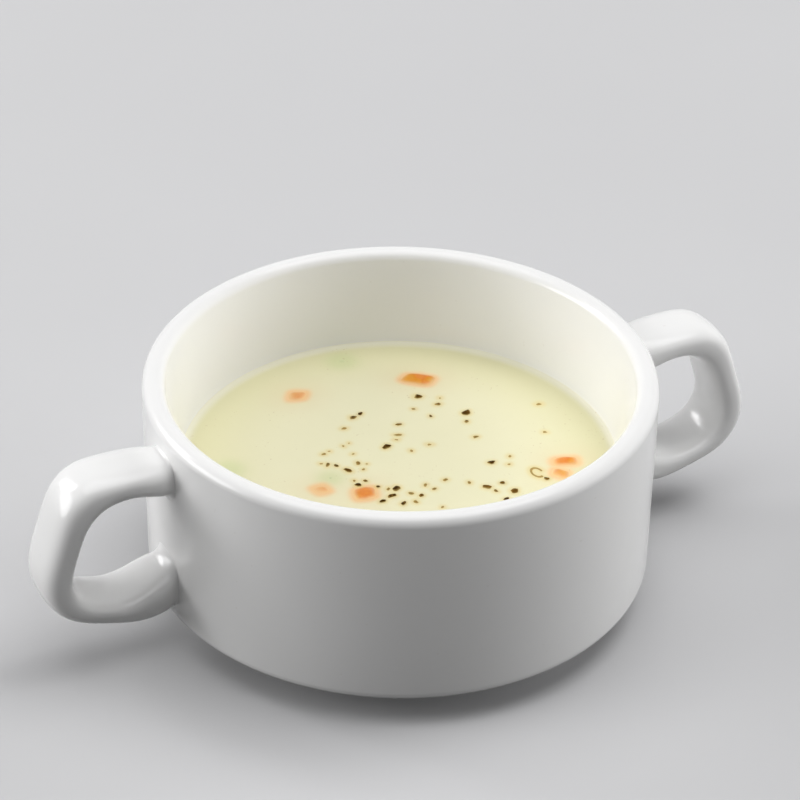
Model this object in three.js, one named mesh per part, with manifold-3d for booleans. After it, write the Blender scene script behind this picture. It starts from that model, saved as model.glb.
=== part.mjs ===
// Two-handled soup cup in white glazed porcelain, filled with a cream soup and its garnish.
// Millimetres, +Z up, +X along the handles, origin at the centre of the circle that the foot stands on.

import * as THREE from "three";
import { mergeVertices } from "three/addons/utils/BufferGeometryUtils.js";
import Module from "manifold-3d";

const wasm = await Module();
wasm.setup();

const radians = THREE.MathUtils.degToRad;

// Cup body
const RIM_DIAMETER = 105;
const CUP_HEIGHT = 50;
const LIP_THICKNESS = 4.4;
const OUTSIDE_DRAFT = radians(0.5);
const INSIDE_DRAFT = radians(8.4);
const SHOULDER_RADIUS = 2.5;
const FLOOR_THICKNESS = 5;
const BOWL_CORNER_RADIUS = 16;

// Foot ring under the shoulder
const FOOT_HEIGHT = 6;
const FOOT_DIAMETER = 80;
const FOOT_WIDTH = 5;
const FOOT_RECESS = 3;
const FOOT_EDGE_RADIUS = 0.8;
const FOOT_FILLET_RADIUS = 1.5;

// Handle outline before its corners are rounded: reaches are measured out from the rim
const HANDLE_DROP = 4.6;
const HANDLE_TOP_REACH = 21.3;
const HANDLE_TOP_RADIUS = 8.9;
const HANDLE_LOW_REACH = 31.3;
const HANDLE_LOW_RADIUS = 12;
const HANDLE_ABOVE_SHOULDER = 3.4;
const LOWER_ARM_RISE = 6.25;
const LOWER_ROOT_REACH = 7.3;
const LOWER_ROOT_RADIUS = 14;
const LOWER_ROOT_SLOPE = radians(12.7);

// Handle band: its three arms, its width, the depth trimmed off against the wall, and its rounded edges,
// which take up at most a share of the band on each side
const UPPER_ARM_THICKNESS = 5.9;
const OUTER_ARM_THICKNESS = 6.5;
const LOWER_ARM_THICKNESS = 5;
const HANDLE_WIDTH = 13.8;
const HANDLE_BLANK_DEPTH = 14;
const EDGE_DEPTH = 5.3;
const EDGE_INSET = 2.3;
const EDGE_SHARE = 0.47;

// Finger hole: its corners, and the flares where the two arms thicken into the wall
const HOLE_TOP_RADIUS = 9.1;
const HOLE_LOW_RADIUS = 7.3;
const UPPER_FLARE_REACH = 7;
const UPPER_FLARE_RADIUS = 9;
const UPPER_FLARE_SLOPE = radians(17.6);
const LOWER_FLARE_REACH = 10.5;
const LOWER_FLARE_RADIUS = 9;
const LOWER_FLARE_SLOPE = radians(24.4);

// Fits: the luted joint of a handle, the film round the soup, and the one under what floats on it
const JOINT_GAP = 0.3;
const SOUP_GAP = 0.3;
const FLECK_GAP = 0.1;

// Soup and garnish: places are shares of the soup's radius from the cup's axis, turns in degrees about it
const SOUP_DROP = 21;
const CARROT_THICKNESS = 3.4;
const CARROT_FREEBOARD = 0.6;
const CARROT_EDGE = 0.5;
const CARROT_DICE = [
  { x: 0.378, y: 0.567, length: 7, width: 3.6, turn: -40 },
  { x: -0.2, y: 0.678, length: 3.8, width: 3.2, turn: -20 },
  { x: 0.678, y: -0.344, length: 5.4, width: 2.6, turn: -18 },
  { x: 0.611, y: -0.422, length: 3.4, width: 2.6, turn: -50 },
  { x: -0.267, y: -0.189, length: 4.6, width: 4.2, turn: -10 },
  { x: -0.433, y: -0.078, length: 3, width: 3, turn: 10 },
];
const HERB_THICKNESS = 0.6;
const HERB_FLECKS = [
  { x: 0.122, y: 0.867, length: 3.4, width: 2, turn: 10 },
  { x: -0.744, y: 0.244, length: 3.2, width: 1.8, turn: 65 },
  { x: -0.356, y: -0.011, length: 1.5, width: 1, turn: -20 },
];
const PEPPER_THICKNESS = 0.7;
const PEPPER_FLECKS = [
  { x: -0.011, y: 0.111, length: 2.2, width: 1.5, turn: 35 },
  { x: 0.311, y: 0.433, length: 2.3, width: 1.6, turn: -15 },
  { x: 0.367, y: 0.333, length: 1.7, width: 1.1, turn: 5 },
  { x: 0.456, y: 0.211, length: 2.3, width: 1.6, turn: 20 },
  { x: 0.422, y: 0.144, length: 1.1, width: 0.9, turn: 50 },
  { x: 0.4, y: 0.011, length: 1.5, width: 0.9, turn: 0 },
  { x: 0.367, y: -0.211, length: 1.8, width: 1.1, turn: -5 },
  { x: 0.256, y: -0.378, length: 1.9, width: 1.2, turn: -35 },
  { x: 0.356, y: -0.456, length: 2, width: 1.7, turn: 15 },
  { x: 0.289, y: -0.5, length: 1.3, width: 0.8, turn: 10 },
  { x: 0.333, y: -0.378, length: 1.1, width: 0.8, turn: -20 },
  { x: -0.256, y: 0.011, length: 2.3, width: 1.6, turn: -50 },
  { x: -0.267, y: -0.116, length: 1.5, width: 1, turn: -25 },
  { x: -0.222, y: -0.278, length: 1.6, width: 0.9, turn: 0 },
  { x: -0.167, y: -0.256, length: 1.9, width: 1.2, turn: 10 },
  { x: -0.122, y: -0.211, length: 2.1, width: 1.6, turn: 25 },
  { x: -0.044, y: -0.311, length: 1.2, width: 1, turn: 40 },
  { x: -0.144, y: -0.333, length: 1.4, width: 0.9, turn: 30 },
  { x: 0.122, y: 0.256, length: 1.5, width: 0.8, turn: -10 },
  { x: -0.122, y: 0.333, length: 1.5, width: 1, turn: -15 },
  { x: 0, y: 0.411, length: 1.2, width: 0.8, turn: 30 },
  { x: -0.322, y: 0.089, length: 1.4, width: 0.9, turn: 60 },
  { x: 0.078, y: 0.178, length: 2, width: 0.9, turn: -20 },
  { x: 0.533, y: -0.433, length: 1.1, width: 0.9, turn: -30 },
  { x: 0.8, y: 0.133, length: 1.8, width: 1.2, turn: 0 },
  { x: 0.111, y: -0.244, length: 1.2, width: 0.8, turn: 15 },
];

// Facets: how far a flat may lie inside the arc that it stands for, and the steps of full turns and edges
const FACET_ERROR = 0.08;
const ROUND_SEGMENTS = 64;
const EDGE_STEPS = 3;

// Sizes that follow from the ones above
const LIP_RADIUS = LIP_THICKNESS / 2;
const RIM_RADIUS = RIM_DIAMETER / 2;
const LIP_CENTRE = new THREE.Vector2(RIM_RADIUS - LIP_RADIUS, CUP_HEIGHT - LIP_RADIUS);
const INSIDE_FLOOR = FOOT_RECESS + FLOOR_THICKNESS;
const SOUP_LEVEL = CUP_HEIGHT - SOUP_DROP;

const point = (x, y) => new THREE.Vector2(x, y);

// Outside radius of the drafted wall at a height
function outsideRadius(height) {
  return LIP_CENTRE.x + LIP_RADIUS / Math.cos(OUTSIDE_DRAFT)
    - (LIP_CENTRE.y - height) * Math.tan(OUTSIDE_DRAFT);
}

// Inside radius of the drafted wall at a height
function insideRadius(height) {
  return LIP_CENTRE.x - LIP_RADIUS / Math.cos(INSIDE_DRAFT)
    - (LIP_CENTRE.y - height) * Math.tan(INSIDE_DRAFT);
}

// Points along an arc, from one angle to another
function arc(centre, radius, from, to) {
  const points = [];
  const steps = Math.ceil(Math.abs(to - from) / (2 * Math.acos(1 - FACET_ERROR / radius)));
  for (let step = 0; step <= steps; step += 1) {
    const angle = THREE.MathUtils.lerp(from, to, step / steps);
    points.push(point(Math.cos(angle), Math.sin(angle)).multiplyScalar(radius).add(centre));
  }
  return points;
}

// A closed outline through corners, each rounded to its own radius where it has one
function roundedOutline(corners) {
  return corners.flatMap(({ at, radius }, index) => {
    if (!radius) return [at];
    const back = corners.at(index - 1).at.clone().sub(at).normalize();
    const ahead = corners[(index + 1) % corners.length].at.clone().sub(at).normalize();
    const half = Math.acos(back.dot(ahead)) / 2;
    const centre = back.clone().add(ahead).setLength(radius / Math.sin(half)).add(at);
    const tangent = radius / Math.tan(half);
    const from = back.multiplyScalar(tangent).add(at).sub(centre).angle();
    const to = ahead.multiplyScalar(tangent).add(at).sub(centre).angle();
    const sweep = THREE.MathUtils.euclideanModulo(to - from + Math.PI, 2 * Math.PI) - Math.PI;
    return arc(centre, radius, from, from + sweep);
  });
}

// Where the line through one point along a direction meets a second such line
function meet(first, along, second, across) {
  const offset = second.clone().sub(first);
  return along.clone().multiplyScalar(offset.cross(across) / along.cross(across)).add(first);
}

// A solid of revolution about Z, from a profile of radius and height
function turned(profile) {
  return new THREE.LatheGeometry(profile, ROUND_SEGMENTS).rotateX(Math.PI / 2);
}

function toSolid(geometry) {
  const bare = geometry.index ? geometry.toNonIndexed() : geometry.clone();
  bare.deleteAttribute("normal");
  bare.deleteAttribute("uv");
  const merged = mergeVertices(bare);
  const mesh = new wasm.Mesh({
    numProp: 3,
    vertProperties: merged.attributes.position.array,
    triVerts: new Uint32Array(merged.index.array),
  });
  return new wasm.Manifold(mesh);
}

function toGeometry(solid) {
  const { vertProperties, triVerts } = solid.getMesh();
  const geometry = new THREE.BufferGeometry();
  geometry.setAttribute("position", new THREE.BufferAttribute(vertProperties, 3));
  geometry.setIndex(new THREE.BufferAttribute(triVerts, 1));
  geometry.computeVertexNormals();
  return geometry;
}

// Inside of the cup, from a height down to the axis, drawn in by a clearance
function insideProfile(height, clearance) {
  const radius = BOWL_CORNER_RADIUS - clearance;
  const floor = INSIDE_FLOOR + clearance;
  const drawnIn = clearance / Math.cos(INSIDE_DRAFT);
  const cornerTop = floor + radius - radius * Math.sin(INSIDE_DRAFT);
  const cornerCentre = insideRadius(cornerTop) - drawnIn - radius * Math.cos(INSIDE_DRAFT);
  return [
    point(insideRadius(height) - drawnIn, height),
    ...arc(point(cornerCentre, floor + radius), radius, -INSIDE_DRAFT, -Math.PI / 2),
    point(0, floor),
  ];
}

// Underside: the recess in the foot ring, the ring that the cup stands on, and its outer side
function footProfile() {
  const outer = FOOT_DIAMETER / 2;
  const inner = outer - FOOT_WIDTH;
  const edge = FOOT_EDGE_RADIUS;
  const fillet = FOOT_FILLET_RADIUS;
  return [
    point(0, FOOT_RECESS),
    ...arc(point(inner - fillet, FOOT_RECESS - fillet), fillet, Math.PI / 2, 0),
    ...arc(point(inner + edge, edge), edge, Math.PI, 1.5 * Math.PI),
    ...arc(point(outer - edge, edge), edge, -Math.PI / 2, 0),
    ...arc(point(outer + fillet, FOOT_HEIGHT - fillet), fillet, Math.PI, Math.PI / 2),
  ];
}

function cupBodyGeometry() {
  const shoulderHeight = FOOT_HEIGHT + SHOULDER_RADIUS;
  const shoulderCentre = outsideRadius(shoulderHeight) - SHOULDER_RADIUS / Math.cos(OUTSIDE_DRAFT);
  return turned([
    ...footProfile(),
    ...arc(point(shoulderCentre, shoulderHeight), SHOULDER_RADIUS, -Math.PI / 2, -OUTSIDE_DRAFT),
    ...arc(LIP_CENTRE, LIP_RADIUS, -OUTSIDE_DRAFT, Math.PI - INSIDE_DRAFT),
    ...insideProfile(LIP_CENTRE.y, 0).slice(1),
  ]);
}

// Corners of the handle's outline, in the upright plane through the cup's axis
function handleCorners() {
  const rootHeight = FOOT_HEIGHT + HANDLE_ABOVE_SHOULDER;
  return {
    top: point(RIM_RADIUS + HANDLE_TOP_REACH, CUP_HEIGHT - HANDLE_DROP),
    low: point(RIM_RADIUS + HANDLE_LOW_REACH, rootHeight + LOWER_ARM_RISE),
    root: point(RIM_RADIUS + LOWER_ROOT_REACH, rootHeight),
  };
}

// Outside of the handle, run on into the wall by the depth of its blank
function handleOutline() {
  const { top, low, root } = handleCorners();
  const end = RIM_RADIUS - HANDLE_BLANK_DEPTH;
  return roundedOutline([
    { at: point(end, top.y) },
    { at: point(end, root.y + (root.x - end) * Math.tan(LOWER_ROOT_SLOPE)) },
    { at: root, radius: LOWER_ROOT_RADIUS },
    { at: low, radius: HANDLE_LOW_RADIUS },
    { at: top, radius: HANDLE_TOP_RADIUS },
  ]);
}

// Finger hole: it runs along the three arms at their thickness, and narrows towards the wall
function fingerHole() {
  const { top, low, root } = handleCorners();
  const level = point(1, 0);
  const upright = point(0, 1);
  const outerArm = low.clone().sub(top).normalize();
  const lowerArm = root.clone().sub(low).normalize();
  const besideOuter = point(outerArm.y, -outerArm.x).multiplyScalar(OUTER_ARM_THICKNESS).add(top);
  const aboveLower = point(lowerArm.y, -lowerArm.x).multiplyScalar(LOWER_ARM_THICKNESS).add(low);
  const upperBend = point(RIM_RADIUS + UPPER_FLARE_REACH, top.y - UPPER_ARM_THICKNESS);
  const lowerBend = meet(aboveLower, lowerArm, point(RIM_RADIUS + LOWER_FLARE_REACH, 0), upright);
  const end = RIM_RADIUS - HANDLE_BLANK_DEPTH / 2;
  return roundedOutline([
    { at: point(end, upperBend.y - (upperBend.x - end) * Math.tan(UPPER_FLARE_SLOPE)) },
    { at: upperBend, radius: UPPER_FLARE_RADIUS },
    { at: meet(upperBend, level, besideOuter, outerArm), radius: HOLE_TOP_RADIUS },
    { at: meet(besideOuter, outerArm, aboveLower, lowerArm), radius: HOLE_LOW_RADIUS },
    { at: lowerBend, radius: LOWER_FLARE_RADIUS },
    { at: point(end, lowerBend.y + (lowerBend.x - end) * Math.tan(LOWER_FLARE_SLOPE)) },
  ]);
}

// The wall grown by the joint's gap, as the shape that trims a handle's roots
function wallTrim() {
  return turned([
    point(0, 0),
    point(outsideRadius(0) + JOINT_GAP, 0),
    point(outsideRadius(CUP_HEIGHT) + JOINT_GAP, CUP_HEIGHT),
    point(0, CUP_HEIGHT),
  ]);
}

// A handle on the +X side; its edges are rounded as far as the thinnest arm and the width allow
function handleGeometry() {
  const thinnest = Math.min(UPPER_ARM_THICKNESS, OUTER_ARM_THICKNESS, LOWER_ARM_THICKNESS);
  const inset = Math.min(EDGE_INSET, EDGE_SHARE * thinnest);
  const depth = Math.min(EDGE_DEPTH, EDGE_SHARE * HANDLE_WIDTH);
  const shape = new THREE.Shape(handleOutline());
  shape.holes.push(new THREE.Path(fingerHole()));
  const band = new THREE.ExtrudeGeometry(shape, {
    depth: HANDLE_WIDTH - 2 * depth,
    bevelThickness: depth,
    bevelSize: inset,
    bevelOffset: -inset,
    bevelSegments: EDGE_STEPS,
  });
  band.translate(0, 0, depth - HANDLE_WIDTH / 2).rotateX(Math.PI / 2);
  return toGeometry(toSolid(band).subtract(toSolid(wallTrim())));
}

// A cut of carrot, grown by a clearance where it is the pocket that the carrot lies in
function carrotGeometry({ length, width }, clearance) {
  const x = length / 2 + clearance;
  const y = width / 2 + clearance;
  const corners = [point(-x, -y), point(x, -y), point(x, y), point(-x, y)];
  const outline = roundedOutline(corners.map((at) => ({ at, radius: CARROT_EDGE + clearance })));
  const depth = CARROT_THICKNESS + 2 * clearance;
  const cut = new THREE.ExtrudeGeometry(new THREE.Shape(outline), { depth, bevelEnabled: false });
  return cut.translate(0, 0, CARROT_FREEBOARD - CARROT_THICKNESS - clearance);
}

// Sets a piece of garnish down on the soup, lifted by a height
function afloat(mesh, { x, y, turn }, lift) {
  const reach = insideProfile(SOUP_LEVEL, SOUP_GAP)[0].x;
  mesh.position.set(x * reach, y * reach, SOUP_LEVEL + lift);
  mesh.rotation.z = radians(turn);
  mesh.updateMatrix();
  return mesh;
}

// The filling, with a pocket for each cut of carrot
function soupGeometry() {
  const filling = toSolid(turned([...insideProfile(SOUP_LEVEL, SOUP_GAP).reverse(), point(0, SOUP_LEVEL)]));
  const pockets = CARROT_DICE.map((dice) => {
    const pocket = afloat(new THREE.Mesh(carrotGeometry(dice, SOUP_GAP)), dice, 0);
    return toSolid(pocket.geometry.applyMatrix4(pocket.matrix));
  });
  return toGeometry(pockets.reduce((soup, pocket) => soup.subtract(pocket), filling));
}

// A torn bit of leaf, pointed at both ends
function herbGeometry({ length, width }) {
  const leaf = new THREE.Shape();
  leaf.moveTo(-length / 2, 0);
  leaf.quadraticCurveTo(0, -width, length / 2, 0);
  leaf.quadraticCurveTo(0, width, -length / 2, 0);
  return new THREE.ExtrudeGeometry(leaf, { depth: HERB_THICKNESS, bevelEnabled: false, curveSegments: 4 });
}

// A cracked chip of peppercorn, lying on its flattest side
function pepperGeometry({ length, width }) {
  const chip = new THREE.IcosahedronGeometry(1).scale(length / 2, width / 2, PEPPER_THICKNESS / 2);
  chip.computeBoundingBox();
  return chip.translate(0, 0, -chip.boundingBox.min.z);
}

function porcelain() {
  return new THREE.MeshStandardMaterial({ color: 0xf1f0ec, roughness: 0.12, metalness: 0 });
}

function named(name, geometry, material) {
  const mesh = new THREE.Mesh(geometry, material);
  mesh.name = name;
  return mesh;
}

const cup = new THREE.Group();

cup.add(named("cup_body", cupBodyGeometry(), porcelain()));

for (const [side, turn] of [["right", 0], ["left", Math.PI]]) {
  const handle = named(`handle_${side}`, handleGeometry(), porcelain());
  handle.rotation.z = turn;
  cup.add(handle);
}

cup.add(named("soup", soupGeometry(), new THREE.MeshStandardMaterial({ color: 0xe8e5bb, roughness: 0.3 })));

CARROT_DICE.forEach((dice, index) => {
  const orange = new THREE.MeshStandardMaterial({ color: 0xe8862c, roughness: 0.4 });
  cup.add(afloat(named(`carrot_dice_${index + 1}`, carrotGeometry(dice, 0), orange), dice, 0));
});

HERB_FLECKS.forEach((fleck, index) => {
  const green = new THREE.MeshStandardMaterial({ color: 0x8fae6a, roughness: 0.5 });
  cup.add(afloat(named(`herb_fleck_${index + 1}`, herbGeometry(fleck), green), fleck, FLECK_GAP));
});

PEPPER_FLECKS.forEach((fleck, index) => {
  const brown = new THREE.MeshStandardMaterial({ color: 0x3a2a17, roughness: 0.8 });
  cup.add(afloat(named(`pepper_fleck_${index + 1}`, pepperGeometry(fleck), brown), fleck, FLECK_GAP));
});

export default cup;
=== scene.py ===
"""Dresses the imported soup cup: glazed porcelain, cream soup and its garnish, on a plain pale floor."""

import math
import random

import bmesh
import bpy
from mathutils import Matrix, Vector, noise
from mathutils.bvhtree import BVHTree
from mathutils.geometry import interpolate_bezier


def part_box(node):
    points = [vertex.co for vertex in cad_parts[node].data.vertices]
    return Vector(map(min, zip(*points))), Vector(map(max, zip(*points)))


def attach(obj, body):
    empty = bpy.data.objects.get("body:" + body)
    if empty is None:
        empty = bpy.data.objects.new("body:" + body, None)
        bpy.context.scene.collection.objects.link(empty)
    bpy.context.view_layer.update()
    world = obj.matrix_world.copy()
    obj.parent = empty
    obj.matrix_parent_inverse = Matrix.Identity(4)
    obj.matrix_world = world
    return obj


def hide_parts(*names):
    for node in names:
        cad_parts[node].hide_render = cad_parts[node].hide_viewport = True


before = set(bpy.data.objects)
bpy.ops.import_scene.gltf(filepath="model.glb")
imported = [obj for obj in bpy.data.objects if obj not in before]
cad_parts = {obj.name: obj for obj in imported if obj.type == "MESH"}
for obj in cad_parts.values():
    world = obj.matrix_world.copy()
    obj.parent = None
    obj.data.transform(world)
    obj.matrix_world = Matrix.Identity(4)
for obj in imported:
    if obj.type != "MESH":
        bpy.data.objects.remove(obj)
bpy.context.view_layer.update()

# Meshes are shaped in millimetres, in the cup's frame, and become metres when a piece is finished.
MM = 0.001
UP = Vector((0, 0, 1))

# Points nearer to each other, or to a cut, than this are one
SAME_PLACE = 1e-4


def measured(node):
    """Lowest and highest corner of a CAD node, in millimetres."""
    return [Vector(corner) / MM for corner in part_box(node)]


# Sizes that the frame gives
cup_low, cup_high = measured("cup_body")
handle_low, handle_high = measured("handle_right")
soup_low, soup_high = measured("soup")
RIM_RADIUS = cup_high.y
CUP_HEIGHT = cup_high.z - cup_low.z
HANDLE_WIDTH = handle_high.y - handle_low.y
HANDLE_MIDDLE = (handle_high.z + handle_low.z) / 2
SOUP_RADIUS = soup_high.y
SOUP_LEVEL = soup_high.z
SOUP_FLOOR = soup_low.z

# Cup body: lip and wall, bowl, and the foot ring under the shoulder
LIP_THICKNESS = 4.4
LIP_ROUND = 2.19
OUTSIDE_DRAFT = math.radians(0.5)
INSIDE_DRAFT = math.radians(8.4)
SHOULDER_ROUND = 2.5
BOWL_FLOOR = 8
BOWL_ROUND = 16
FOOT_RADIUS = 40
FOOT_WIDTH = 5
FOOT_HEIGHT = 6
FOOT_RECESS = 3
FOOT_EDGE = 0.8
FOOT_FILLET = 1.5
CUP_STEPS = 192
ARC_STEPS = 10

# Heights between which the glaze begins, above the bare ring on which the cup stands
GLAZE_BEGINS = (0.2, 0.5)

# Handle, as reach out from the rim, height and rounding of matching corners along its outside and its
# inside, from the upper root round to the lower one, and how many sections lie between them
HANDLE_OUTSIDE = [
    (-2.5, 45, 0), (7.5, 45.5, 0), (21.5, 45.7, 9.4), (31.3, 15.9, 12.5), (7.7, 9, 15), (-2.5, 9.9, 0),
]
HANDLE_INSIDE = [
    (-2.5, 36, 0), (7.5, 39.8, 9), (16.6, 39.9, 9.8), (23.4, 18.8, 7.6), (10.5, 15.4, 9), (-2.5, 21.3, 0),
]
HANDLE_SECTIONS = (7, 10, 16, 14, 9)
HANDLE_SOFTENING = 3
CORNER_POINTS = 21
CORNER_PULL = 0.6

# Section of the handle: a crowned outside and a flatter inside, and how deep the crown is
SECTION_POINTS = 40
CROWN_DEPTH = 0.58
CROWN_SQUARENESS = 2.9
INSIDE_SQUARENESS = 2.8

# Where the handle's roots round off, bend to the wall and run out on to it
ROOT_ROUND = 2.6
ROOT_REACH = 6.5
ROOT_BEND = 14
ROOT_FILLET = 0.9
HOLE_FILLET = 2.4
ROOT_TUCK = 0.05
ROOT_RINGS = 12

# Soup: how it climbs the wall, and the fineness of its surface, which carries the stains
MENISCUS_RISE = 1.4
MENISCUS_ROUND = 1.8
WALL_FILM = 0.15
SOUP_RINGS = 160
SOUP_STEPS = 400

# Radii of the wall's painted shade on the soup, and those between which the soup pales against the wall
SOUP_PAINTED_SHADE = (SOUP_RADIUS - 21, SOUP_RADIUS + 1)
SOUP_PALES = (SOUP_RADIUS - 2.2, SOUP_RADIUS + 0.2)

# How far each kind of garnish tints the soup round it
CARROT_STAIN = 0.8
CARROT_GLOW = 4.5
LEAF_STAIN = 2.5
PEPPER_STAIN = 0.65

# How far above the soup's level each kind of garnish still has soup on it
CARROT_VEIL = 0.42
LEAF_VEIL = 0.25
PEPPER_VEIL = 0.26

# Carrot: how far each cut rises out of the soup, how far it is from square, and how soft it is cooked
CARROT_RISE = (0.48, 0.27, 0.42, 0.3, 0.46, 0.2)
CARROT_DEPTH = 3.4
CARROT_SWELL = 1.6
CARROT_TAPER = 0.25
CARROT_LEAN = 0.2
CARROT_GRID = 11
CARROT_SOFTENING = 60
CARROT_EASE = 0.5

# Leaf: thin, crowned in the middle and torn at its edge
LEAF_RISE = 0.08
LEAF_THICKNESS = 0.18
LEAF_POINTS = 24
LEAF_RINGS = 3
LEAF_INSET = 0.12
LEAF_CROWN = 0.06

# Pepper: how far chips rise, those that lie lower than the rest, and how they break: how each break
# tilts, how far from the middle it lies as a share of the size, and the angle of a sharp edge
PEPPER_RISE = 0.32
SUNK_PEPPER = {3: 0.2, 5: 0.2, 6: 0.16, 19: 0.2, 20: 0.12, 22: 0.2, 23: 0.12, 25: 0.1, 26: 0.16}
CHIP_SWELL = 1.15
CHIP_FINENESS = 2
CHIP_BREAKS = 5
BREAK_TILT = (-0.2, 0.6)
BREAK_REACH = (0.26, 0.44)
BREAK_ANGLE = 0.6

# Fine pepper between the chips, as places on the soup, sizes and how far it rises
PEPPER_DUST = [
    (-2, 18, 1.5, 0.25), (11, 15.5, 0.8, 0.14), (13, 11.5, 0.8, 0.24), (18, 17, 0.8, 0.05),
    (-13.5, 8, 1, 0.14), (-12, 8.5, 0.6, 0.06), (-8.5, 9, 0.7, 0.1), (-7, 9.5, 0.5, 0.06),
    (-8, 5.5, 0.7, 0.07), (-15.5, 5, 0.7, 0.08), (-13, 3, 0.9, 0.24), (-8.5, 2, 1.2, 0.2),
    (-8.5, -0.5, 0.7, 0.1), (-7, 1, 0.5, 0.08), (-10, -4.5, 0.9, 0.22), (-12, -3.5, 0.8, 0.12),
    (-7, -9, 1, 0.14), (-8.5, -7.5, 0.8, 0.24), (-3.5, -12.5, 1.1, 0.16), (-4, -15.5, 1.1, 0.16),
    (0.5, -11, 1.1, 0.14), (1.5, -13, 0.9, 0.18), (8, 2, 1.4, 0.08), (3.5, 1.5, 0.9, 0.08),
    (21, -9, 0.9, 0.12), (19.5, -11.5, 0.9, 0.1), (32, -4, 0.9, 0.08), (12.5, -19, 0.9, 0.22),
    (9, -14, 0.9, 0.16), (0, -19.5, 0.7, 0.14), (2.5, 6.5, 1.2, 0.07),
]
DUST_FINENESS = 1
DUST_SEED = 40
DUST_TURN = 2.4
DUST_SHAPE = 0.7

# Unevenness of the garnish, as pitch and depth, a chip's as shares of its size, and how far apart the
# noises lie that make it
CARROT_UNEVEN = (1.9, 0.1)
LEAF_UNEVEN = (1.1, 0.06)
CHIP_UNEVEN = (0.42, 0.16)
NOISE_STEP = Vector((7.31, 3.17, 1.93))

# A curl of husk that floats among the pepper
CURL_PLACE = Vector((23.3, -16.6, 0))
CURL_RADII = Vector((1.1, 1.7, 1))
CURL_THICKNESS = 0.6
CURL_OPENING = math.radians(70)
CURL_POINTS = 10
CURL_STEPS = 30
CURL_RISE = 0.08

# Stage and camera, in metres and degrees
FLOOR_SIZE = 2.5
FLOOR_CELLS = 4
LAMP_AIM = Vector((0, 0, 0.03))
CAMERA_PLACE = (-0.2489, -0.4886, 0.3965)
CAMERA_TURN = (57.21, -0.92, -26.39)
CAMERA_LENS = 144


def smoothstep(value, low, high):
    """0 up to low, 1 from high on, and a smooth rise between them."""
    share = min(max((value - low) / (high - low), 0), 1)
    return share * share * (3 - 2 * share)


class Wire:
    """An output socket of a finish, which takes part in Python arithmetic."""

    def __init__(self, finish, socket):
        self.finish = finish
        self.socket = socket

    def math(self, operation, first, second):
        return self.finish.node("ShaderNodeMath", {"operation": operation}, {0: first, 1: second})

    def __add__(self, other):
        return self.math("ADD", self, other)

    def __sub__(self, other):
        return self.math("SUBTRACT", self, other)

    def __rsub__(self, other):
        return self.math("SUBTRACT", other, self)

    def __mul__(self, other):
        return self.math("MULTIPLY", self, other)

    def __pow__(self, other):
        return self.math("POWER", self, other)

    def most(self, other):
        """The larger of the two."""
        return self.math("MAXIMUM", self, other)

    def between(self, low, high):
        """0 at low, 1 at high, and held there outside them."""
        settings = {"interpolation_type": "SMOOTHSTEP"}
        inputs = {"Value": self, "From Min": low, "From Max": high}
        return self.finish.node("ShaderNodeMapRange", settings, inputs)

    def within(self, low, high):
        """The same for a length, with low and high in millimetres."""
        return self.between(low * MM, high * MM)

    __radd__ = __add__
    __rmul__ = __mul__


class Finish:
    """The nodes that give a material, or the studio, its look."""

    def __init__(self, owner):
        self.owner = owner
        owner.use_nodes = True
        self.tree = owner.node_tree
        self.tree.nodes.clear()

    def node(self, kind, settings=None, inputs=None, out=0):
        """Adds a node with its settings and its sockets' values or wires, and gives one output."""
        made = self.tree.nodes.new(kind)
        for key, value in (settings or {}).items():
            setattr(made, key, value)
        for key, value in (inputs or {}).items():
            if isinstance(value, Wire):
                self.tree.links.new(value.socket, made.inputs[key])
            else:
                made.inputs[key].default_value = value
        return Wire(self, made.outputs[out]) if made.outputs else None

    def place(self):
        """Where a point of the piece lies in the cup's frame, in metres."""
        return self.node("ShaderNodeTexCoord", out="Object")

    def part(self, vector, axis):
        """One of the three parts of a place."""
        return self.node("ShaderNodeSeparateXYZ", None, {0: vector}, axis)

    def noise(self, scale, detail=2.0, roughness=0.5, distortion=0.0):
        """A soft pattern between 0 and 1, with so many blots to the metre."""
        values = {"Scale": scale, "Detail": detail, "Roughness": roughness, "Distortion": distortion}
        return self.node("ShaderNodeTexNoise", None, {"Vector": self.place(), **values}, "Fac")

    def mix(self, share, first, second):
        """The first colour where share is 0, the second where it is 1."""
        return self.node("ShaderNodeMix", {"data_type": "RGBA"}, {0: share, 6: first, 7: second}, 2)

    def attribute(self, name):
        """A mark that the mesh carries at its points."""
        return self.node("ShaderNodeAttribute", {"attribute_name": name}, None, "Fac")

    def bump(self, height, strength, depth):
        """A fine relief, so many millimetres deep."""
        inputs = {"Height": height, "Strength": strength, "Distance": depth * MM}
        return self.node("ShaderNodeBump", None, inputs)

    def veil(self, clear):
        """1 at the soup's surface and under it, 0 where a piece stands clear of it."""
        height = self.part(self.place(), 2)
        return 1 - height.within(SOUP_LEVEL, SOUP_LEVEL + clear)

    def seen(self):
        """1 to the eye and in what mirrors or lets light through, 0 to light that is scattered."""
        rays = ("Is Camera Ray", "Is Glossy Ray", "Is Transmission Ray")
        camera, glossy, through = [self.node("ShaderNodeLightPath", out=ray) for ray in rays]
        return camera.most(glossy).most(through)

    def shade(self, **inputs):
        """Shows one surface, whose sockets are named in small letters."""
        values = {key.replace("_", " ").title().replace("Ior", "IOR"): value for key, value in inputs.items()}
        self.show(self.node("ShaderNodeBsdfPrincipled", None, values))
        return self.owner

    def show(self, shader, kind="Material"):
        """Ends the nodes with what is seen."""
        self.node(f"ShaderNodeOutput{kind}", None, {"Surface": shader})


def colour(red, green, blue):
    """An opaque colour, as its shares of linear light."""
    return (red, green, blue, 1.0)


# Carrot runs into the soup at its edge, so both finishes have this colour there.
CARROT_EDGE = colour(0.91, 0.6, 0.3)


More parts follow.
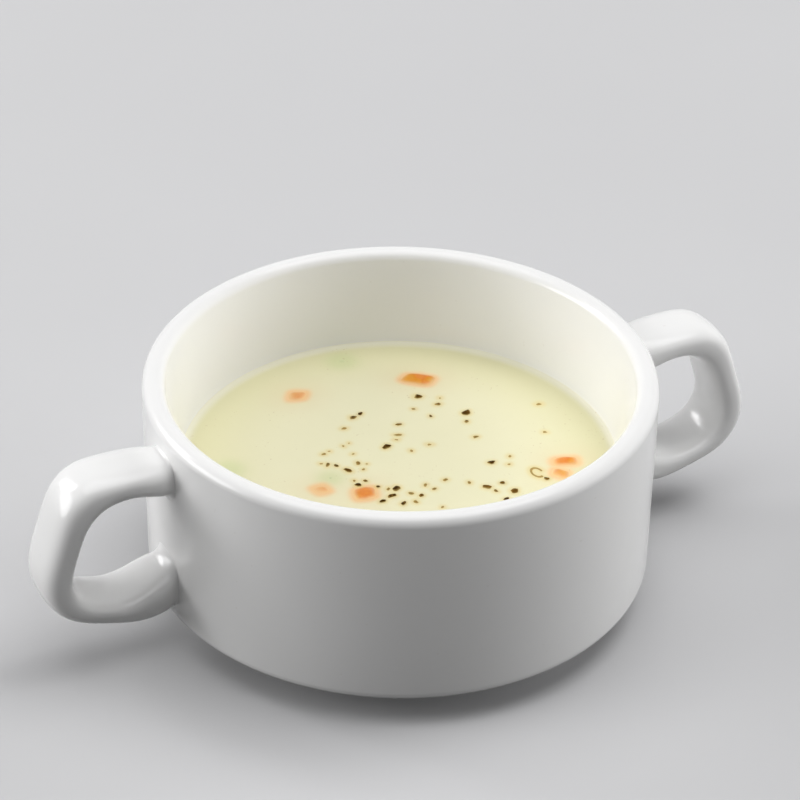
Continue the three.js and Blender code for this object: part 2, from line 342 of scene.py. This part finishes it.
def glaze_finish():
    """Clear gloss glaze over white porcelain, with a bare ring where the cup stands."""
    glaze = Finish(bpy.data.materials.new("clear_glaze"))
    height = glaze.part(glaze.place(), 2)
    drift = glaze.noise(38, 3)
    ripple = glaze.noise(160, 2)
    grain = glaze.noise(2600, 2)
    fleck = glaze.noise(900, 1).between(0.755, 0.80)
    bare = 1 - height.within(*GLAZE_BEGINS)
    white = glaze.mix(drift, colour(0.902, 0.90, 0.893), colour(0.922, 0.92, 0.915))
    white = glaze.mix(fleck * 0.1, white, colour(0.50, 0.44, 0.36))
    biscuit = glaze.mix(grain, colour(0.60, 0.55, 0.47), colour(0.74, 0.70, 0.63))
    swell = drift * 0.7 + ripple * 0.3 + grain * bare
    return glaze.shade(
        base_color=glaze.mix(bare, white, biscuit),
        roughness=0.15 + ripple * 0.07 + bare * 0.6,
        coat_weight=0.2 - bare * 0.2,
        coat_roughness=0.08,
        ior=1.5,
        normal=glaze.bump(swell, 0.12, 0.4),
    )


def soup_finish():
    """Cream soup, darkened towards the wall by painted shade, and tinted where carrot, leaf and pepper lie in
    it.
    """
    soup = Finish(bpy.data.materials.new("cream_soup"))
    place = soup.place()
    east = soup.part(place, 0)
    north = soup.part(place, 1)
    reach = (east * east + north * north) ** 0.5
    cloud = soup.noise(55, 3, 0.55, 0.8)
    curd = soup.noise(420, 3)
    dust = soup.noise(1700, 1).between(0.70, 0.78) * soup.noise(120, 1).between(0.48, 0.66)
    cream = soup.mix(cloud, colour(0.85, 0.82, 0.56), colour(0.885, 0.85, 0.6))
    # Painted shade: the soup darkens outwards, where the wall shades it
    cream = soup.mix(reach.within(*SOUP_PAINTED_SHADE) * 0.8, cream, colour(0.72, 0.69, 0.41))
    cream = soup.mix(reach.within(*SOUP_PALES), cream, colour(0.86, 0.84, 0.68))
    cream = soup.mix(soup.attribute("carrot_glow") * 0.2, cream, colour(0.84, 0.64, 0.40))
    cream = soup.mix(soup.attribute("leaf_stain") * 0.5, cream, colour(0.60, 0.67, 0.33))
    cream = soup.mix(soup.attribute("carrot_stain"), cream, CARROT_EDGE)
    cream = soup.mix(soup.attribute("pepper_stain") * 0.55, cream, colour(0.79, 0.63, 0.23))
    cream = soup.mix(dust * 0.35, cream, colour(0.42, 0.27, 0.10))
    return soup.shade(
        base_color=cream,
        roughness=0.26 + curd * 0.14,
        ior=1.36,
        normal=soup.bump(cloud * 0.6 + curd * 0.4, 0.2, 0.3),
    )


def carrot_finish():
    """Cooked carrot, veiled by soup where it lies low."""
    carrot = Finish(bpy.data.materials.new("cooked_carrot"))
    fibre = carrot.noise(650, 4, 0.6, 1.0)
    patch = carrot.noise(260, 1)
    flesh = carrot.mix(fibre.between(0.35, 0.65), colour(0.74, 0.20, 0.0), colour(0.80, 0.28, 0.015))
    flesh = carrot.mix(patch.between(0.42, 0.62) * 0.35, flesh, colour(0.83, 0.29, 0.12))
    flesh = carrot.mix((1 - patch).between(0.46, 0.66) * 0.5, flesh, colour(0.78, 0.42, 0.05))
    return carrot.shade(
        base_color=carrot.mix(carrot.veil(CARROT_VEIL), flesh, CARROT_EDGE),
        roughness=0.32 + fibre * 0.15,
        ior=1.36,
        normal=carrot.bump(fibre, 0.25, 0.2),
    )


def leaf_finish():
    """Green leaf, wet and nearly sunk."""
    leaf = Finish(bpy.data.materials.new("green_leaf"))
    vein = leaf.noise(1200, 3, 0.6, 0.5)
    blade = leaf.mix(vein, colour(0.44, 0.56, 0.22), colour(0.56, 0.65, 0.31))
    return leaf.shade(
        base_color=leaf.mix(leaf.veil(LEAF_VEIL) * 0.95, blade, colour(0.69, 0.71, 0.42)),
        roughness=0.35 + vein * 0.2,
        ior=1.36,
        normal=leaf.bump(vein, 0.25, 0.2),
    )


def pepper_finish():
    """Cracked pepper: black husk and brown kernel, paler where soup covers it."""
    pepper = Finish(bpy.data.materials.new("cracked_pepper"))
    husk = pepper.noise(900, 3, 0.6)
    grain = pepper.noise(3200, 3)
    kind = pepper.noise(150, 1).between(0.44, 0.62)
    shell = pepper.mix(grain, colour(0.026, 0.010, 0.0), colour(0.075, 0.033, 0.003))
    shell = pepper.mix(kind * 0.8, shell, colour(0.16, 0.078, 0.012))
    shell = pepper.mix(husk.between(0.52, 0.66) * 0.7, shell, colour(0.24, 0.125, 0.025))
    return pepper.shade(
        base_color=pepper.mix(pepper.veil(PEPPER_VEIL) * 0.88, shell, colour(0.54, 0.385, 0.13)),
        roughness=0.6 + grain * 0.3,
        specular_ior_level=0.06,
        normal=pepper.bump(grain, 0.5, 0.2),
    )


def floor_finish():
    """Plain pale floor, dimmer to the light that it sends back than to the eye."""
    pale = Finish(bpy.data.materials.new("pale_floor"))
    tone = pale.mix(pale.noise(9, 3), colour(0.60, 0.60, 0.61), colour(0.63, 0.63, 0.64))
    tone = pale.mix(pale.seen(), colour(0.22, 0.22, 0.22), tone)
    pale.show(pale.node("ShaderNodeBsdfDiffuse", None, {"Color": tone}))
    return pale.owner


def wall_radius(height):
    """Outside of the cup's drafted wall."""
    return RIM_RADIUS - (CUP_HEIGHT - LIP_THICKNESS / 2 - height) * math.tan(OUTSIDE_DRAFT)


def bowl_radius(height):
    """Inside of the cup's drafted wall."""
    return RIM_RADIUS - LIP_THICKNESS - (CUP_HEIGHT - height) * math.tan(INSIDE_DRAFT)


def cup_profile():
    """Radius, height and rounding of each corner, from the recess in the foot to the floor of the bowl."""
    foot_inside = FOOT_RADIUS - FOOT_WIDTH
    return [
        (0, FOOT_RECESS, 0),
        (foot_inside, FOOT_RECESS, FOOT_FILLET),
        (foot_inside, 0, FOOT_EDGE),
        (FOOT_RADIUS, 0, FOOT_EDGE),
        (FOOT_RADIUS, FOOT_HEIGHT, FOOT_FILLET),
        (wall_radius(FOOT_HEIGHT), FOOT_HEIGHT, SHOULDER_ROUND),
        (wall_radius(CUP_HEIGHT), CUP_HEIGHT, LIP_ROUND),
        (bowl_radius(CUP_HEIGHT), CUP_HEIGHT, LIP_ROUND),
        (bowl_radius(BOWL_FLOOR), BOWL_FLOOR, BOWL_ROUND),
        (0, BOWL_FLOOR, 0),
    ]


def soup_profile():
    """Radius, height and rounding of each corner, from the middle of its surface to that of its floor."""
    edge = SOUP_LEVEL + MENISCUS_RISE
    below = SOUP_LEVEL - MENISCUS_RISE
    gap = SOUP_FLOOR - BOWL_FLOOR
    return [
        (0, SOUP_LEVEL, 0),
        (bowl_radius(SOUP_LEVEL) + WALL_FILM, SOUP_LEVEL, MENISCUS_ROUND),
        (bowl_radius(edge) + 2 * WALL_FILM, edge, 0),
        (bowl_radius(below) + 2 * WALL_FILM, below, 0),
        (bowl_radius(SOUP_FLOOR) - gap, SOUP_FLOOR, BOWL_ROUND - gap),
        (0, SOUP_FLOOR, 0),
    ]


def rounded_wire(bm, corners):
    """A wire through corners of the upright plane, each rounded to its own radius."""
    corner_verts = [bm.verts.new((x, 0, z)) for x, z, _ in corners]
    for first, second in zip(corner_verts, corner_verts[1:]):
        bm.edges.new((first, second))
    for vert, (_, _, radius) in zip(corner_verts, corners):
        if not radius:
            continue
        here = vert.co.copy()
        sides = [edge.other_vert(vert).co - here for edge in vert.link_edges]
        bmesh.ops.bevel(
            bm, geom=[vert], offset=radius / math.tan(sides[0].angle(sides[1]) / 2), offset_type="OFFSET",
            affect="VERTICES", segments=ARC_STEPS, profile=0.5, material=-1,
        )


def spin_round(bm, steps):
    """Turns a wire about the cup's axis into a closed shape."""
    wire = bm.verts[:] + bm.edges[:]
    bmesh.ops.spin(bm, geom=wire, cent=Vector(), axis=UP, angle=math.tau, steps=steps, use_merge=True)


def finish_piece(bm, name, material, slot, *nodes):
    """Closes and turns out a mesh, and sets it into the frame in place of CAD nodes."""
    bmesh.ops.remove_doubles(bm, verts=bm.verts, dist=SAME_PLACE)
    bmesh.ops.recalc_face_normals(bm, faces=bm.faces)
    bmesh.ops.scale(bm, verts=bm.verts, vec=Vector((MM, MM, MM)))
    mesh = bpy.data.meshes.new(name)
    bm.to_mesh(mesh)
    bm.free()
    mesh.shade_smooth()
    mesh.materials.append(material)
    piece = bpy.data.objects.new(name, mesh)
    bpy.context.scene.collection.objects.link(piece)
    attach(piece, "root")
    if nodes:
        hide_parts(*nodes)
    return piece


def quarter_round(radius, reach):
    """How far a round stands in at a reach from its foot: its radius at the foot, nothing past it."""
    share = min(max(1 - reach / radius, 0), 1)
    return radius * (1 - math.sqrt(1 - share * share))


def root_moves(bm, wall_reach):
    """Where each point of the handle goes as its roots round off, bend to the wall and run out on to it."""
    for vert in bm.verts:
        reach = vert.co.x - wall_reach
        into_hole = vert.normal.z if vert.co.z < HANDLE_MIDDLE else -vert.normal.z
        fillet = ROOT_FILLET + (HOLE_FILLET - ROOT_FILLET) * max(into_hole, 0) ** 2
        away = Vector((0, vert.normal.y, vert.normal.z)).normalized()
        narrowing = quarter_round(ROOT_ROUND, reach * ROOT_ROUND / ROOT_REACH) / (HANDLE_WIDTH / 2)
        place = Vector((vert.co.x, vert.co.y * (1 - narrowing), vert.co.z))
        place += away * quarter_round(fillet, reach)
        radius = wall_radius(place.z)
        bend = wall_reach - math.sqrt(radius * radius - place.y * place.y)
        place.x -= bend * (1 - smoothstep(reach, 0, ROOT_BEND)) + ROOT_TUCK * (reach < fillet)
        yield vert, place


def let_into_wall(bm):
    """Cuts fine rings into the handle's roots and shapes them on to the wall."""
    wall_reach = wall_radius(HANDLE_MIDDLE)
    for ring in range(ROOT_RINGS + 1):
        reach = ROOT_REACH * (1 - math.cos(math.pi / 2 * ring / ROOT_RINGS))
        bmesh.ops.bisect_plane(
            bm, geom=bm.verts[:] + bm.edges[:] + bm.faces[:], dist=SAME_PLACE,
            plane_co=Vector((wall_reach + reach, 0, 0)), plane_no=Vector((1, 0, 0)),
        )
    bm.normal_update()
    for vert, place in list(root_moves(bm, wall_reach)):
        vert.co = place


def evenly(trail, count):
    """Points a fixed distance apart along a trail, without its last one."""
    lengths = [(second - first).length for first, second in zip(trail, trail[1:])]
    step = sum(lengths) / count
    spread = []
    walked = 0
    for first, second, length in zip(trail, trail[1:], lengths):
        while len(spread) < count and len(spread) * step <= walked + length:
            spread.append(first.lerp(second, (len(spread) * step - walked) / length if length else 0))
        walked += length
    return spread


def soft_line(corners):
    """Stations along one side of the handle: its corners rounded, then the whole line softened."""
    points = [Vector((RIM_RADIUS + reach, 0, height)) for reach, height, _ in corners]
    trail = points[:1]
    anchors = [0]
    for before, here, after, (_, _, radius) in zip(points, points[1:], points[2:], corners[1:]):
        back, onward = before - here, after - here
        setback = radius / math.tan(back.angle(onward) / 2)
        start, end = here + back.normalized() * setback, here + onward.normalized() * setback
        pulls = start.lerp(here, CORNER_PULL), end.lerp(here, CORNER_PULL)
        trail += interpolate_bezier(start, *pulls, end, CORNER_POINTS)
        anchors.append(len(trail) - 1 - CORNER_POINTS // 2)
    trail.append(points[-1])
    anchors.append(len(trail) - 1)
    stations = []
    for first, last, count in zip(anchors, anchors[1:], HANDLE_SECTIONS):
        stations += evenly(trail[first:last + 1], count)
    stations.append(points[-1])
    for _ in range(HANDLE_SOFTENING):
        inner = zip(stations, stations[1:], stations[2:])
        stations[1:-1] = [(before + here * 2 + after) / 4 for before, here, after in inner]
    return stations


def handle_section(bm, outside, inside):
    """One ring of the handle: crowned towards the outside, flatter towards the finger hole."""
    ring = bmesh.ops.create_circle(bm, segments=SECTION_POINTS, radius=1)["verts"]
    for vert in ring:
        crowned = vert.co.x > 0
        power = 2 / (CROWN_SQUARENESS if crowned else INSIDE_SQUARENESS)
        depth = CROWN_DEPTH if crowned else 1 - CROWN_DEPTH
        across, along = [math.copysign(abs(value) ** power, value) for value in vert.co.xy]
        place = inside.lerp(outside, 1 - CROWN_DEPTH + across * depth)
        vert.co = place + Vector((0, along * HANDLE_WIDTH / 2, 0))
    return list({edge for vert in ring for edge in vert.link_edges})


def handle(turn):
    """A loop handle: sections from root to root, bridged, and let into the wall."""
    bm = bmesh.new()
    pairs = zip(soft_line(HANDLE_OUTSIDE), soft_line(HANDLE_INSIDE))
    rings = [handle_section(bm, outside, inside) for outside, inside in pairs]
    for first, second in zip(rings, rings[1:]):
        bmesh.ops.bridge_loops(bm, edges=first + second)
    for ring in (rings[0], rings[-1]):
        bmesh.ops.contextual_create(bm, geom=ring)
    bmesh.ops.recalc_face_normals(bm, faces=bm.faces)
    let_into_wall(bm)
    bmesh.ops.rotate(bm, verts=bm.verts, cent=Vector(), matrix=Matrix.Rotation(turn, 3, "Z"))
    return bm


def lie(node):
    """How a bit of garnish lies: its place, turn, length and width, from its CAD node."""
    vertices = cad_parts[node].data.vertices
    points = {tuple(round(value / MM, 3) for value in vert.co.xy) for vert in vertices}
    best = None
    for degrees in range(180):
        turn = math.radians(degrees)
        along = [x * math.cos(turn) + y * math.sin(turn) for x, y in points]
        across = [y * math.cos(turn) - x * math.sin(turn) for x, y in points]
        length, width = max(along) - min(along), max(across) - min(across)
        if length >= width and (best is None or length * width < best[0]):
            middle = Vector((max(along) + min(along), max(across) + min(across), 0)) / 2
            best = (length * width, Matrix.Rotation(turn, 3, "Z") @ middle, turn, length, width)
    return best[1:]


def roughen(bm, seed, pitch, depth):
    """Moves each point by a smooth noise, the same in each run."""
    shifts = [NOISE_STEP * (seed * 3 + axis) for axis in range(3)]
    for vert in bm.verts:
        vert.co += Vector([noise.noise(vert.co / pitch + shift) for shift in shifts]) * depth


def afloat(bm, place, turn, rise):
    """Turns a shape that was made at the origin, and floats it so that it rises so far out of the soup."""
    crest = max(vert.co.z for vert in bm.verts)
    bmesh.ops.rotate(bm, verts=bm.verts, cent=Vector(), matrix=Matrix.Rotation(turn, 3, "Z"))
    bmesh.ops.translate(bm, verts=bm.verts, vec=place + UP * (SOUP_LEVEL + rise - crest))


def carrot_cut(node, seed):
    """A cooked cut of carrot: a block never cut quite square, softened, and sunk to a low crown."""
    place, turn, length, width = lie(node)
    dice = random.Random(seed)
    taper = dice.uniform(-CARROT_TAPER, CARROT_TAPER)
    lean = dice.uniform(-CARROT_LEAN, CARROT_LEAN)
    bm = bmesh.new()
    bmesh.ops.create_cube(bm, size=1)
    bmesh.ops.subdivide_edges(bm, edges=bm.edges[:], cuts=CARROT_GRID, use_grid_fill=True)
    for vert in bm.verts:
        vert.co.y *= 1 + taper * vert.co.x
        vert.co.x += lean * vert.co.y
    sizes = Vector((length + CARROT_SWELL, width + CARROT_SWELL, CARROT_DEPTH))
    bmesh.ops.scale(bm, verts=bm.verts, vec=sizes)
    for _ in range(CARROT_SOFTENING):
        bmesh.ops.smooth_vert(
            bm, verts=bm.verts, factor=CARROT_EASE, use_axis_x=True, use_axis_y=True, use_axis_z=True,
        )
    roughen(bm, seed, *CARROT_UNEVEN)
    afloat(bm, place, turn, CARROT_RISE[seed - 1])
    return bm


def herb_leaf(node, seed):
    """A torn bit of leaf, crowned and thin."""
    place, turn, length, width = lie(node)
    bm = bmesh.new()
    bmesh.ops.create_circle(bm, cap_ends=True, segments=LEAF_POINTS, radius=0.5)
    bm.normal_update()
    blade = bm.faces[:]
    if blade[0].normal.z < 0:
        bmesh.ops.reverse_faces(bm, faces=blade)
    for _ in range(LEAF_RINGS):
        bmesh.ops.inset_region(
            bm, faces=blade, thickness=LEAF_INSET, depth=LEAF_CROWN, use_boundary=True, use_even_offset=True,
        )
    bmesh.ops.scale(bm, verts=bm.verts, vec=Vector((length, width, 1)))
    roughen(bm, seed, *LEAF_UNEVEN)
    bmesh.ops.solidify(bm, geom=bm.faces[:], thickness=LEAF_THICKNESS)
    afloat(bm, place, turn, LEAF_RISE)
    return bm


def break_off(bm, dice):
    """Takes one side off a peppercorn along a flat break."""
    angle = dice.uniform(0, math.tau)
    side = Vector((math.cos(angle), math.sin(angle), dice.uniform(*BREAK_TILT))).normalized()
    cut = bmesh.ops.bisect_plane(
        bm, geom=bm.verts[:] + bm.edges[:] + bm.faces[:], dist=SAME_PLACE,
        plane_co=side * dice.uniform(*BREAK_REACH), plane_no=side, clear_outer=True,
    )
    rim = [item for item in cut["geom_cut"] if isinstance(item, bmesh.types.BMEdge)]
    bmesh.ops.edgenet_fill(bm, edges=rim)


def pepper_chip(place, turn, length, width, rise, seed, fineness):
    """A chip of peppercorn, broken along flat sides."""
    dice = random.Random(seed)
    bm = bmesh.new()
    bmesh.ops.create_icosphere(bm, subdivisions=fineness, radius=0.5)
    roughen(bm, seed, *CHIP_UNEVEN)
    for _ in range(CHIP_BREAKS):
        break_off(bm, dice)
    low = Vector([min(vert.co[axis] for vert in bm.verts) for axis in range(3)])
    high = Vector([max(vert.co[axis] for vert in bm.verts) for axis in range(3)])
    sizes = (length * CHIP_SWELL, width * CHIP_SWELL, width / 2)
    stretch = Vector([size / extent for size, extent in zip(sizes, high - low)])
    bmesh.ops.translate(bm, verts=bm.verts, vec=(low + high) / -2)
    bmesh.ops.scale(bm, verts=bm.verts, vec=stretch)
    afloat(bm, place, turn, rise)
    return bm


def pepper_dust():
    """All the fine pepper, as one mesh."""
    dust = bmesh.new()
    scrap = bpy.data.meshes.new("scrap")
    for seed, (x, y, size, rise) in enumerate(PEPPER_DUST):
        place = Vector((x, y, 0))
        chip = pepper_chip(
            place, seed * DUST_TURN, size, size * DUST_SHAPE, rise, seed + DUST_SEED, DUST_FINENESS,
        )
        chip.to_mesh(scrap)
        chip.free()
        dust.from_mesh(scrap)
    bpy.data.meshes.remove(scrap)
    return dust


def husk_curl():
    """A bit of husk, curled into an open ring."""
    bm = bmesh.new()
    upright = Matrix.Translation((1, 0, 0)) @ Matrix.Rotation(math.pi / 2, 4, "X")
    bmesh.ops.create_circle(
        bm, segments=CURL_POINTS, radius=CURL_THICKNESS / 2, cap_ends=True, matrix=upright,
    )
    bmesh.ops.spin(
        bm, geom=bm.verts[:] + bm.edges[:] + bm.faces[:], cent=Vector(), axis=UP,
        angle=math.tau - CURL_OPENING, steps=CURL_STEPS,
    )
    bmesh.ops.scale(bm, verts=bm.verts, vec=CURL_RADII)
    afloat(bm, CURL_PLACE, 0, CURL_RISE)
    return bm


def nodes_named(stem):
    """The CAD nodes of one kind, in the order of their numbers."""
    names = [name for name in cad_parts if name.startswith(stem)]
    return sorted(names, key=lambda name: int(name.split("_")[-1]))


def stain(soup, pieces, **spreads):
    """Marks the soup's points by how near garnish lies: 1 against it, 0 well away from it."""
    points, faces = [], []
    for piece in pieces:
        faces += [[index + len(points) for index in face.vertices] for face in piece.data.polygons]
        points += [vert.co for vert in piece.data.vertices]
    garnish = BVHTree.FromPolygons(points, faces)
    reaches = [garnish.find_nearest(vert.co)[3] / MM for vert in soup.data.vertices]
    for name, spread in spreads.items():
        marks = soup.data.attributes.new(name, "FLOAT", "POINT")
        marks.data.foreach_set("value", [math.exp(-((reach / spread) ** 2)) for reach in reaches])


def build_cup():
    """The porcelain: the body and its two handles."""
    glaze = glaze_finish()
    body = bmesh.new()
    rounded_wire(body, cup_profile())
    spin_round(body, CUP_STEPS)
    finish_piece(body, "glazed_body", glaze, "porcelain", "cup_body")
    for side, turn in (("right", 0), ("left", math.pi)):
        finish_piece(handle(turn), f"glazed_handle_{side}", glaze, "porcelain", f"handle_{side}")


def build_soup():
    """The soup, with a surface that is fine enough for its stains."""
    bm = bmesh.new()
    rounded_wire(bm, soup_profile())
    surface = max(bm.edges, key=lambda edge: edge.calc_length())
    bmesh.ops.subdivide_edges(bm, edges=[surface], cuts=SOUP_RINGS)
    spin_round(bm, SOUP_STEPS)
    return finish_piece(bm, "cream_soup", soup_finish(), "soup", "soup")


def build_carrots():
    """The carrot, one piece for each cut."""
    carrot = carrot_finish()
    return [
        finish_piece(carrot_cut(node, seed), f"cooked_{node}", carrot, "carrot", node)
        for seed, node in enumerate(nodes_named("carrot_dice"), 1)
    ]


def build_leaves():
    """The leaf, one piece for each bit."""
    leaf = leaf_finish()
    return [
        finish_piece(herb_leaf(node, seed), f"wet_{node}", leaf, "herb", node)
        for seed, node in enumerate(nodes_named("herb_fleck"), 1)
    ]


def build_pepper():
    """The pepper: its chips, the dust between them and the curl of husk."""
    pepper = pepper_finish()
    pieces = []
    for seed, node in enumerate(nodes_named("pepper_fleck"), 1):
        rise = SUNK_PEPPER.get(seed, PEPPER_RISE)
        chip = pepper_chip(*lie(node), rise, seed, CHIP_FINENESS)
        pieces.append(finish_piece(chip, f"cracked_{node}", pepper, "pepper", node))
    pieces.append(finish_piece(pepper_dust(), "pepper_dust", pepper, "pepper"))
    for piece in pieces:
        piece.data.set_sharp_from_angle(angle=BREAK_ANGLE)
    pieces.append(finish_piece(husk_curl(), "husk_curl", pepper, "pepper"))
    return pieces


def build_floor():
    """The floor on which the cup stands."""
    bm = bmesh.new()
    bmesh.ops.create_grid(bm, x_segments=FLOOR_CELLS, y_segments=FLOOR_CELLS, size=FLOOR_SIZE)
    mesh = bpy.data.meshes.new("floor")
    bm.to_mesh(mesh)
    bm.free()
    mesh.materials.append(floor_finish())
    floor = bpy.data.objects.new("floor", mesh)
    bpy.context.scene.collection.objects.link(floor)


def soft_lamp(name, place, width, height, power, mirrored=True):
    """A soft box of light that faces the cup, and that its glaze may mirror."""
    data = bpy.data.lights.new(name, "AREA")
    data.shape = "ELLIPSE"
    data.size = width
    data.size_y = height
    data.energy = power
    lamp = bpy.data.objects.new(name, data)
    lamp.visible_glossy = mirrored
    lamp.location = place
    lamp.rotation_euler = (LAMP_AIM - Vector(place)).to_track_quat("-Z", "Y").to_euler()
    bpy.context.scene.collection.objects.link(lamp)


def build_light():
    """Soft light from above and from both sides, and a small window behind on the left."""
    soft_lamp("roof_lamp", (0.0, 0.0, 2.0), width=2.4, height=2.2, power=21)
    soft_lamp("overhead_lamp", (0.85, -0.1, 1.75), width=1.2, height=1.0, power=9, mirrored=False)
    soft_lamp("window_lamp", (-0.69, 0.92, 0.61), width=0.25, height=0.6, power=3.2)
    soft_lamp("left_lamp", (-2.85, 1.5, 0.9), width=2.7, height=1.7, power=46)
    soft_lamp("high_left_lamp", (-3.3, 0.6, 2.4), width=2.4, height=2.4, power=30, mirrored=False)
    soft_lamp("right_lamp", (3.3, -0.75, 0.9), width=4.2, height=1.7, power=82, mirrored=False)


def build_studio():
    """Plain walls all round, pale to the eye and nearly dark as a light."""
    walls = Finish(bpy.data.worlds.new("studio"))
    tone = walls.mix(walls.seen(), colour(0.02, 0.02, 0.02), colour(0.6, 0.6, 0.61))
    walls.show(walls.node("ShaderNodeBackground", None, {"Color": tone}), "World")
    bpy.context.scene.world = walls.owner


def build_camera():
    """A long lens that looks down on the cup from its front left."""
    data = bpy.data.cameras.new("camera")
    data.lens = CAMERA_LENS
    camera = bpy.data.objects.new("camera", data)
    camera.location = CAMERA_PLACE
    camera.rotation_euler = [math.radians(angle) for angle in CAMERA_TURN]
    bpy.context.scene.collection.objects.link(camera)
    bpy.context.scene.camera = camera


build_cup()
soup_piece = build_soup()
stain(soup_piece, build_carrots(), carrot_stain=CARROT_STAIN, carrot_glow=CARROT_GLOW)
stain(soup_piece, build_leaves(), leaf_stain=LEAF_STAIN)
stain(soup_piece, build_pepper(), pepper_stain=PEPPER_STAIN)
build_floor()
build_light()
build_studio()
build_camera()
bpy.context.scene.view_settings.view_transform = "Standard"
